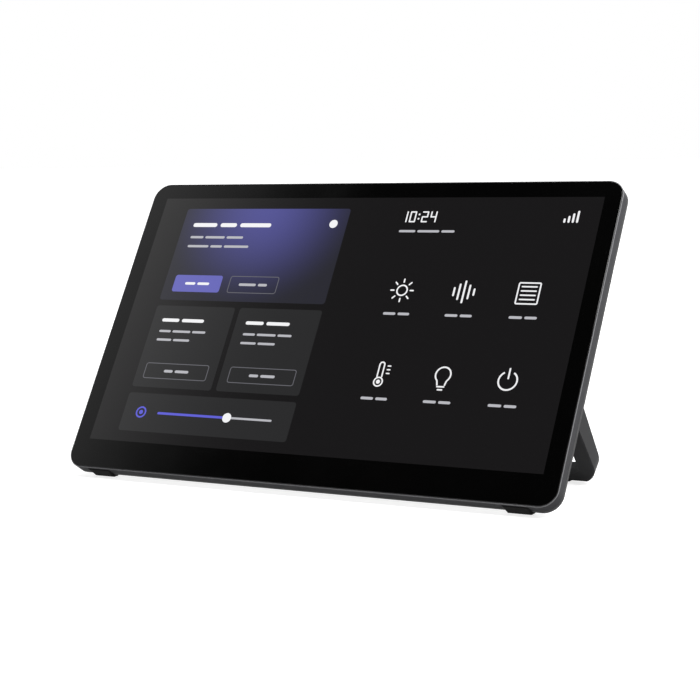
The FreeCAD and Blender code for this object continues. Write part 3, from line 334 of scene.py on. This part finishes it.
# The finish of each material slot
FINISHES = {
    "black_glass": glass("black_glass_look"),
    # The frame paint's second, lighter colour is a painted highlight along its front edge
    "dark_grey_paint": paint_with_painted_highlight("frame_paint_painted_highlight", srgb("3f3f41"), srgb("767678"), 0.5),
    "rear_plastic": moulded("rear_moulding", srgb("3b3b3c"), 0.5, specular=0.1),
    "stand_paint": moulded("stand_coat", srgb("2e2e2f"), 0.46,
                           grain_mm=0.3, depth_mm=0.008, specular=0.035),
    "hinge_metal": moulded("cast_zinc", srgb("3a3a3b"), 0.42, grain_mm=0.5, depth_mm=0.01),
    "cap_plastic": moulded("cap_moulding", srgb("333334"), 0.5),
    "rubber_black": rubbery("black_rubber", srgb("101010")),
    "tape": rubbery("bonding_foam", srgb("1c1c1c")),
    "thermal_pad": rubbery("soft_pad", srgb("8a93a0")),
    "sheet_metal": brushed("zinc_sheet", (0.62, 0.63, 0.64), 0.35),
    "shield_metal": brushed("tinned_sheet", (0.68, 0.68, 0.66), 0.3),
    "socket_metal": brushed("nickel_shell", (0.62, 0.61, 0.6), 0.28),
    "heat_spreader": brushed("aluminium_plate", (0.75, 0.75, 0.76), 0.32),
    "screw_steel": brushed("plated_screw", (0.55, 0.55, 0.56), 0.3, EVEN),
    "black_screw": brushed("blackened_screw", (0.045, 0.045, 0.045), 0.4, EVEN),
    "pin_steel": brushed("ground_pin", (0.5, 0.5, 0.51), 0.25, ROUND_X),
    "washer_steel": brushed("spring_washer", (0.4, 0.4, 0.41), 0.3, EVEN),
    "circuit_board": circuit("solder_mask"),
    "chip_black": film("chip_package", (0.015, 0.015, 0.015), 0.55),
    "connector_plastic": film("cream_nylon", srgb("d9d2bd"), 0.5),
    "flex_film": film("amber_film", srgb("b56f2a"), 0.35),
    "clear_film": film("sensor_film", srgb("20242a"), 0.2),
    "display_glass": film("cell_glass", srgb("17171a"), 0.12),
    "white_film": film("optical_film", srgb("ececec"), 0.5),
    "clear_acrylic": film("acrylic_guide", srgb("dfe5ea"), 0.15),
    "light_bar": film("emitter_strip", srgb("ece6c2"), 0.45),
}


def dress_nodes():
    """Gives every CAD node the finish of its slot."""
    for part in frame["record"]["subparts"]:
        node = frame["nodes"][part["node"]]
        node.data.materials.clear()
        node.data.materials.append(FINISHES[part["material_slot"]])


# The feet

# Places up the panel and behind its front: the glued faces, and the front of the skin that shows, along
# the foot and at its ends. The flat of the skin lies on the table, so only its depths are given.
FOOT_SEAT = ((9.0, 10.1), (0.0, 7.1), (0.0, 1.2))
FOOT_FRONT, FOOT_FRONT_END = (-0.5, 1.5), (-0.1, 1.4)
FOOT_FLAT, FOOT_FLAT_END = (8.1, 10.9), (8.4, 10.3)
# The length of the sloping ends, how far they rise, and the rounding of the skin's edges
FOOT_TAPER = 0.9
FOOT_LIFT = 0.9
FOOT_ROUNDING = 0.22


def table_up(depth):
    """How far up the panel its tilted frame meets the table at a depth."""
    return (depth * math.cos(TILT) - PANEL_EDGE.z / MM) / math.sin(TILT)


def foot(name, node):
    """A rubber foot that wraps the lower edge: a tongue under the straight side, and behind it a wedge
    that is flat on the table. Its ends lie where the CAD node that it stands for has its own."""
    low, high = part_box(node)
    left, right = low[0] / MM, high[0] / MM
    full = (FOOT_FRONT, *((table_up(depth), depth) for depth in FOOT_FLAT))
    end = (FOOT_FRONT_END, *((table_up(depth) + FOOT_LIFT, depth) for depth in FOOT_FLAT_END))
    mesh = bmesh.new()
    rings = []
    for x, skin in ((left, end), (left + FOOT_TAPER, full), (right - FOOT_TAPER, full), (right, end)):
        places = [panel(x, up - PICTURE_UP, -depth) for up, depth in (*FOOT_SEAT, *skin)]
        rings.append([mesh.verts.new(place) for place in places])
    for ring, following in zip(rings, rings[1:]):
        for i in range(len(ring)):
            j = (i + 1) % len(ring)
            mesh.faces.new([ring[i], ring[j], following[j], following[i]])
    mesh.faces.new(list(reversed(rings[0])))
    mesh.faces.new(rings[-1])
    bmesh.ops.recalc_face_normals(mesh, faces=mesh.faces)
    seat = {corner for ring in rings for corner in ring[:len(FOOT_SEAT)]}
    shown = [edge for edge in mesh.edges if not seat.intersection(edge.verts)]
    bmesh.ops.bevel(mesh, geom=shown, offset=FOOT_ROUNDING * MM, segments=2, affect="EDGES", profile=0.5)
    piece = modelled(name, mesh, FINISHES["rubber_black"])
    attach(piece, "panel")
    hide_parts(node)


# The picture on the screen: thin plates of light laid on the glass

# Layers above the glass, lowest first, and the plates' thickness
LIFT_PICTURE, LIFT_CARD, LIFT_BUTTON, LIFT_MARK = 0.004, 0.020, 0.036, 0.052
PLATE_THICKNESS = 0.012

# Steps along the outlines of discs, rings, parts of rings, round ends of lines, and corners
DISC_STEPS, RING_STEPS, ARC_STEPS, END_STEPS, CORNER_STEPS = 32, 40, 24, 8, 6

# The gap between two words, as a multiple of their height
WORD_GAP = 1.9


def arc_points(x, u, radius, start, end, steps):
    """Points along part of a circle, both its ends included."""
    turns = [start + (end - start) * i / steps for i in range(steps + 1)]
    return [(x + radius * math.cos(t), u + radius * math.sin(t)) for t in turns]


def circle_points(x, u, radius, steps):
    """Points round a whole circle, each of them once."""
    return arc_points(x, u, radius, 0, math.tau, steps)[:-1]


def rounded_points(left, low, right, high, radius):
    """The outline of a rectangle with round corners."""
    x0, u0, x1, u1 = left + radius, low + radius, right - radius, high - radius
    points = []
    for i, (x, u) in enumerate(((x1, u0), (x1, u1), (x0, u1), (x0, u0))):
        points += arc_points(x, u, radius, QUARTER_TURN * (i - 1), QUARTER_TURN * i, CORNER_STEPS)
    return points


class Marks:
    """Flat shapes on the screen, gathered into one thin solid piece."""

    def __init__(self, name, material, lift):
        self.name = name
        self.material = material
        self.levels = (lift, lift + PLATE_THICKNESS)
        self.mesh = bmesh.new()

    def _ends(self, points):
        """Each point of an outline as a pair: its corner below and its corner above."""
        return [[self.mesh.verts.new(panel(x, u, n)) for n in self.levels] for x, u in points]

    def area(self, points):
        """A filled outline, its points running anticlockwise."""
        pairs = self._ends(points)
        self.mesh.faces.new([above for below, above in pairs])
        self.mesh.faces.new([below for below, above in reversed(pairs)])
        for i, (below, above) in enumerate(pairs):
            next_below, next_above = pairs[(i + 1) % len(pairs)]
            self.mesh.faces.new([below, next_below, next_above, above])

    def band(self, outer, inner):
        """The closed strip between two outlines with as many points each, both anticlockwise."""
        outside, inside = self._ends(outer), self._ends(inner)
        for i in range(len(outside)):
            j = (i + 1) % len(outside)
            self.mesh.faces.new([outside[i][1], outside[j][1], inside[j][1], inside[i][1]])
            self.mesh.faces.new([outside[j][0], outside[i][0], inside[i][0], inside[j][0]])
            self.mesh.faces.new([outside[i][0], outside[j][0], outside[j][1], outside[i][1]])
            self.mesh.faces.new([inside[j][0], inside[i][0], inside[i][1], inside[j][1]])

    def rounded(self, box, radius):
        """A filled box of left, low, right and high edges."""
        self.area(rounded_points(*box, radius))

    def outline(self, box, radius, line):
        left, low, right, high = box
        inner = rounded_points(left + line, low + line, right - line, high - line, radius - line)
        self.band(rounded_points(*box, radius), inner)

    def disc(self, x, u, radius):
        self.area(circle_points(x, u, radius, DISC_STEPS))

    def ring(self, x, u, radius, line):
        self.band(circle_points(x, u, radius, RING_STEPS), circle_points(x, u, radius - line, RING_STEPS))

    def arc(self, x, u, radius, line, start, end):
        """Part of a ring between two angles in degrees."""
        a, b = math.radians(start), math.radians(end)
        outer = arc_points(x, u, radius, a, b, ARC_STEPS)
        self.area(outer + arc_points(x, u, radius - line, b, a, ARC_STEPS))

    def stroke(self, x0, u0, x1, u1, line):
        """A line with round ends."""
        turn = math.atan2(u1 - u0, x1 - x0)
        right, left, round_again = turn - QUARTER_TURN, turn + QUARTER_TURN, turn + 3 * QUARTER_TURN
        end = arc_points(x1, u1, line / 2, right, left, END_STEPS)
        self.area(end + arc_points(x0, u0, line / 2, left, round_again, END_STEPS))

    def words(self, x, u, height, lengths):
        """A line of bars as long as words, with gaps between them."""
        for length in lengths:
            self.stroke(x, u, x + length, u, height)
            x += length + WORD_GAP * height

    def finish(self):
        piece = modelled(self.name, self.mesh, self.material)
        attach(piece, "panel")


WHITE = srgb("f4f4f6")
PALE = srgb("b9b9bf")

# The cards, as left, low, right and high edges
MAIN_CARD = (-112.0, 10.0, -10.0, 65.5)
LOWER_CARDS = ((-112.0, -41.0, -62.5, 6.5), (-59.5, -41.0, -10.0, 6.5))
STATUS_CARD = (-112.0, -66.0, -10.0, -44.5)
CARD_RADIUS = 1.6
# How far the main card's violet reaches from the middle of its upper edge
VIOLET_REACH = 62.0

# The buttons, as edges from the lower left corner of their card
FILLED_BUTTON = (6.0, 5.0, 36.0, 15.0)
OPEN_BUTTON = (41.0, 5.0, 71.0, 15.0)
LOWER_BUTTON = (5.0, 5.0, 44.5, 14.0)
BUTTON_RADIUS = 1.4
BUTTON_LINE = 0.4

# Lines of words: their place from a corner of the card, their height and the words' lengths
MAIN_TITLE = (8.0, -10.0, 2.4, (13.0, 8.0, 17.0))
MAIN_LINES = ((8.0, -17.5, 1.4, (7.0, 11.0, 9.0)), (8.0, -23.0, 1.4, (12.0, 6.0, 14.0)))
LOWER_TITLE = (7.0, -8.5, 1.9, (9.0, 12.0))
LOWER_LINES = ((7.0, -15.0, 1.3, (6.0, 10.0, 7.0)), (7.0, -20.0, 1.3, (8.0, 9.0)))
FILLED_BUTTON_WORDS = (14.0, 10.0, 1.5, (5.0, 6.0))
OPEN_BUTTON_WORDS = (48.0, 10.0, 1.5, (9.0, 4.0))
LOWER_BUTTON_WORDS = (18.0, 9.5, 1.5, (4.0, 7.0))

# The main card's dot: its place from the upper right corner and its radius
MAIN_DOT = (-8.0, -9.0, 2.4)

# The clock, the signal sign and the line below the clock; the grid of signs, and a sign's name
CLOCK_AT = (21.0, 58.0)
SIGNAL_AT = (110.0, 58.2)
DATE_WORDS = (22.0, 52.5, 1.3, (8.0, 11.0, 6.0))
TILE_COLUMNS = (32.0, 66.0, 100.0)
TILE_ROWS = (19.0, -27.0)
TILE_WORDS = (-6.5, -13.0, 1.4, (5.5, 5.0))


def on_card(box, card):
    """A box placed from a card's lower left corner."""
    x, u, _, _ = card
    left, low, right, high = box
    return x + left, u + low, x + right, u + high


def write(marks, x, u, line):
    """A line of words placed from a corner."""
    across, up, height, lengths = line
    marks.words(x + across, u + up, height, lengths)


def picture():
    back = Marks("screen_picture", lit("picture_glow", srgb("171617")), LIFT_PICTURE)
    right, high = PICTURE_HALF_WIDTH, PICTURE_HALF_HEIGHT
    back.area([(-right, -high), (right, -high), (right, high), (-right, high)])
    back.finish()


def cards():
    left, _, right, high = MAIN_CARD
    top_middle = ((left + right) / 2, high)
    violet = lit_round("violet_glow", top_middle, srgb("525293"), srgb("2a2a32"), VIOLET_REACH)
    main = Marks("screen_card_main", violet, LIFT_CARD)
    main.rounded(MAIN_CARD, CARD_RADIUS)
    main.finish()
    plain = Marks("screen_cards", lit("card_glow", srgb("2a2a2b")), LIFT_CARD)
    for card in (*LOWER_CARDS, STATUS_CARD):
        plain.rounded(card, CARD_RADIUS)
    plain.finish()


def buttons():
    filled = Marks("screen_button_filled", lit("button_glow", srgb("6767b8")), LIFT_BUTTON)
    filled.rounded(on_card(FILLED_BUTTON, MAIN_CARD), BUTTON_RADIUS)
    filled.finish()
    open_buttons = Marks("screen_button_outlines", lit("outline_glow", srgb("6a6a70")), LIFT_BUTTON)
    open_buttons.outline(on_card(OPEN_BUTTON, MAIN_CARD), BUTTON_RADIUS, BUTTON_LINE)
    for card in LOWER_CARDS:
        open_buttons.outline(on_card(LOWER_BUTTON, card), BUTTON_RADIUS, BUTTON_LINE)
    open_buttons.finish()


def slider(accent, soft, strong):
    """A round sign and a slider with its knob, along the middle of the lowest card."""
    left, low, right, high = STATUS_CARD
    middle = (low + high) / 2
    sign, sign_radius, sign_line, sign_dot = left + 11.0, 3.2, 0.9, 1.2
    start, knob, end = left + 22.0, left + 64.0, right - 12.0
    knob_radius, knob_room, passed_line, coming_line = 2.6, 3.0, 1.3, 1.1
    accent.stroke(start, middle, knob - knob_room, middle, passed_line)
    soft.stroke(knob + knob_room, middle, end, middle, coming_line)
    strong.disc(knob, middle, knob_radius)
    accent.ring(sign, middle, sign_radius, sign_line)
    accent.disc(sign, middle, sign_dot)


def card_marks():
    """Short bars where a real screen has words, a dot on the main card, and the slider."""
    strong = Marks("screen_lines_strong", lit("strong_line_glow", WHITE), LIFT_MARK)
    soft = Marks("screen_lines_soft", lit("soft_line_glow", PALE), LIFT_MARK)
    accent = Marks("screen_accents", lit("accent_glow", srgb("6161d6")), LIFT_MARK)
    left, low, right, high = MAIN_CARD
    write(strong, left, high, MAIN_TITLE)
    for line in MAIN_LINES:
        write(soft, left, high, line)
    write(strong, left, low, FILLED_BUTTON_WORDS)
    write(soft, left, low, OPEN_BUTTON_WORDS)
    across, up, radius = MAIN_DOT
    strong.disc(right + across, high + up, radius)
    for left, low, _, high in LOWER_CARDS:
        write(strong, left, high, LOWER_TITLE)
        for line in LOWER_LINES:
            write(soft, left, high, line)
        write(soft, left, low, LOWER_BUTTON_WORDS)
    slider(accent, soft, strong)
    for marks in (strong, soft, accent):
        marks.finish()


# Which of a digit's seven bars are lit: top, upper left, upper right, middle, lower left, lower right
# and bottom
DIGIT_BARS = {"0": "1110111", "1": "0010010", "2": "1011101", "4": "0111010"}


def digit(marks, sign, x, u, width, height, line):
    left, right, middle, top = x, x + width, u + height / 2, u + height
    bars = (
        (left, top, right, top), (left, middle, left, top), (right, middle, right, top),
        (left, middle, right, middle),
        (left, u, left, middle), (right, u, right, middle), (left, u, right, u),
    )
    for bar, shown in zip(bars, DIGIT_BARS[sign]):
        if shown == "1":
            marks.stroke(*bar, line)


def clock(marks, x, u):
    width, height, gap, line = 2.8, 5.6, 2.0, 0.75
    dot, lower_dot, upper_dot = line * 0.7, height * 0.3, height * 0.75
    for sign in "10:24":
        if sign == ":":
            marks.disc(x, u + lower_dot, dot)
            marks.disc(x, u + upper_dot, dot)
            x += gap
        else:
            digit(marks, sign, x, u, width, height, line)
            x += width + gap


def signal(marks, x, u):
    bars, pitch, shortest, step, line = 4, 2.2, 1.3, 1.4, 1.1
    for i in range(bars):
        left = x + pitch * i
        marks.stroke(left, u, left, u + shortest + step * i, line)


def sun(marks, x, u):
    disc, rays, start, end, line = 3.2, 8, 4.6, 6.2, 0.8
    marks.ring(x, u, disc, line)
    for i in range(rays):
        across, up = math.cos(math.tau / rays * i), math.sin(math.tau / rays * i)
        marks.stroke(x + start * across, u + start * up, x + end * across, u + end * up, line)


def sound(marks, x, u):
    heights, pitch, line = (4.0, 8.0, 11.5, 7.0, 3.0), 2.7, 1.0
    for i, height in enumerate(heights):
        left = x + (i - len(heights) // 2) * pitch
        marks.stroke(left, u - height / 2, left, u + height / 2, line)


def blind(marks, x, u):
    half, corner, line = 6.0, 1.0, 0.75
    slats, slat, highest, pitch = 4, 3.8, 3.6, 2.3
    marks.outline((x - half, u - half, x + half, u + half), corner, line)
    for i in range(slats):
        level = u + highest - pitch * i
        marks.stroke(x - slat, level, x + slat, level, line)


def thermometer(marks, x, u):
    bulb_down, bulb, liquid, line = 4.0, 2.7, 1.1, 0.75
    tube, tube_down, tube_up, cap = 1.3, 1.2, 5.2, 1.67
    degrees, scale_start, scale_end, highest, pitch, thin_line = 3, 3.4, 4.8, 4.6, 2.0, 0.7
    marks.ring(x, u - bulb_down, bulb, line)
    marks.disc(x, u - bulb_down, liquid)
    for side in (x - tube, x + tube):
        marks.stroke(side, u - tube_down, side, u + tube_up, line)
    marks.arc(x, u + tube_up, cap, line, start=0, end=180)
    for i in range(degrees):
        level = u + highest - pitch * i
        marks.stroke(x + scale_start, level, x + scale_end, level, thin_line)


def light_bulb(marks, x, u):
    bulb_up, bulb, line = 1.4, 4.4, 0.8
    neck_start, neck_end, threads = (2.5, 2.0), (2.0, 4.0), ((1.8, 4.9), (1.1, 6.5))
    marks.arc(x, u + bulb_up, bulb, line, start=-50, end=230)
    for side in (-1, 1):
        start, end = x + side * neck_start[0], x + side * neck_end[0]
        marks.stroke(start, u - neck_start[1], end, u - neck_end[1], line)
    for half, down in threads:
        marks.stroke(x - half, u - down, x + half, u - down, line)


def standby(marks, x, u):
    radius, bar_start, bar_end, line = 5.2, 1.2, 6.2, 0.85
    marks.arc(x, u, radius, line, start=-240, end=60)
    marks.stroke(x, u + bar_start, x, u + bar_end, line)


def tiles():
    """Six room controls in a grid, each with a sign and bars for its name, under a clock and a signal
    sign."""
    signs = Marks("screen_signs", lit("sign_glow", WHITE), LIFT_MARK)
    names = Marks("screen_names", lit("name_glow", PALE), LIFT_MARK)
    clock(signs, *CLOCK_AT)
    signal(signs, *SIGNAL_AT)
    names.words(*DATE_WORDS)
    drawings = iter((sun, sound, blind, thermometer, light_bulb, standby))
    for u in TILE_ROWS:
        for x in TILE_COLUMNS:
            next(drawings)(signs, x, u)
            write(names, x, u, TILE_WORDS)
    signs.finish()
    names.finish()


# Studio

# The camera that took the photograph, in the panel's frame, with the picture's side and the focal
# length in pixels
CAMERA_AT = (442.10, -332.59, 692.95)
CAMERA_RIGHT = (0.87002, 0.24489, -0.42790)
CAMERA_DOWN = (0.03848, -0.89900, -0.43626)
IMAGE_SIZE = 700
FOCAL_PIXELS = 1770.8
SENSOR_MM = 36.0
# Level of the light from all round, and of the ceiling as the glass shows it
SOFT_LIGHT = 0.5
CEILING_LEVEL = 0.02
# Where the ceiling begins, as the upward part of a direction
CEILING_FADE = (0.50, 0.62)
# Its left end, as slopes across the panel's front, and how far that end leans on the way up the panel
VEIL_FADE = (-1.036, -0.776)
VEIL_SLANT = -0.21
# The floor: half its side, its own glow near the object, and the distances over which that grows to
# full white, with lengths in metres
FLOOR_HALF = 6.0
FLOOR_GLOW = 0.76
FLOOR_FADE = (0.3, 1.0)
# The soft lamps: place, aim and size in metres, and power in watts
SOFTBOXES = {
    "softbox_right": ((0.40, 0.03, 0.44), (0.0, 0.0, 0.06), (0.3, 0.3), 3.0),
    "softbox_top": ((-0.2, 0.5, 1.45), (0.0, 0.0, 0.0), (1.4, 1.4), 10.0),
    "softbox_back": ((-0.5, 1.3, 0.45), (0.0, 0.0, 0.06), (1.2, 0.6), 8.0),
}


def camera():
    right = turned(*CAMERA_RIGHT)
    up = -turned(*CAMERA_DOWN)
    back = right.cross(up)
    place = Matrix((right, up, back)).transposed().to_4x4()
    place.translation = panel(*CAMERA_AT)
    data = bpy.data.cameras.new("camera")
    data.sensor_width = SENSOR_MM
    data.lens = FOCAL_PIXELS / IMAGE_SIZE * SENSOR_MM
    made = linked("camera", data)
    made.matrix_world = place
    bpy.context.scene.camera = made


def floor():
    """Pale paper that keeps a faint shadow. It also glows, more so farther out, and there it runs into the
    white surroundings."""
    near, far = -FLOOR_HALF, FLOOR_HALF
    corners = [(near, near, 0), (far, near, 0), (far, far, 0), (near, far, 0)]
    mesh = bpy.data.meshes.new("floor")
    mesh.from_pydata(corners, [], [(0, 1, 2, 3)])
    paper = Shader("floor_paper", srgb("c0c0c0"), roughness=0.9, specular=0.1)
    paper.set("Emission Color", (1.0, 1.0, 1.0, 1.0))
    reach = paper.vector("DISTANCE", paper.place, (0.0, 0.0, 0.0))
    glow = paper.ranged(reach, FLOOR_GLOW, 1.0, *FLOOR_FADE)
    paper.feed(paper.calc("MULTIPLY", glow, paper.seen_directly()), "Emission Strength")
    mesh.materials.append(paper.material)
    made = linked("floor", mesh)


def surroundings():
    """White all round under a dark ceiling, which the glass mirrors. The ceiling ends on the left along a
    line that leans, and the white beyond it gives the soft veil of light on the left of the screen."""
    world = bpy.data.worlds.new("studio")
    tree = NodeTree(world)
    way = tree.nodes.new("ShaderNodeTexCoord").outputs["Generated"]
    sideways = tree.vector("DOT_PRODUCT", way, turned(1.0, VEIL_SLANT, 0.0))
    outwards = tree.vector("DOT_PRODUCT", way, turned(0, 0, 1))
    inside = tree.ranged(tree.calc("DIVIDE", sideways, outwards), 0.0, 1.0, *VEIL_FADE, smooth=True)
    height = tree.vector("DOT_PRODUCT", way, (0.0, 0.0, 1.0))
    ceiling = tree.ranged(height, 0.0, 1.0, *CEILING_FADE, smooth=True)
    shown = tree.ranged(tree.calc("MULTIPLY", ceiling, inside), 1.0, CEILING_LEVEL, 0.0, 1.0)
    extra = tree.calc("MULTIPLY", tree.seen_directly(), tree.calc("SUBTRACT", shown, SOFT_LIGHT))
    background = tree.nodes["Background"]
    background.inputs["Color"].default_value = (1.0, 1.0, 1.0, 1.0)
    tree.links.new(tree.calc("ADD", extra, SOFT_LIGHT), background.inputs["Strength"])
    bpy.context.scene.world = world


def lamps():
    for name, (place, aim, size, power) in SOFTBOXES.items():
        data = bpy.data.lights.new(name, "AREA")
        data.shape = "RECTANGLE"
        data.size, data.size_y = size
        data.energy = power
        made = linked(name, data)
        made.location = place
        made.rotation_euler = (Vector(aim) - Vector(place)).to_track_quat("-Z", "Y").to_euler()


dress_nodes()
for side in ("right", "left"):
    foot(f"rubber_foot_{side}", f"front_foot_{side}")
picture()
cards()
buttons()
card_marks()
tiles()
camera()
floor()
surroundings()
lamps()
bpy.context.scene.view_settings.view_transform = "Standard"
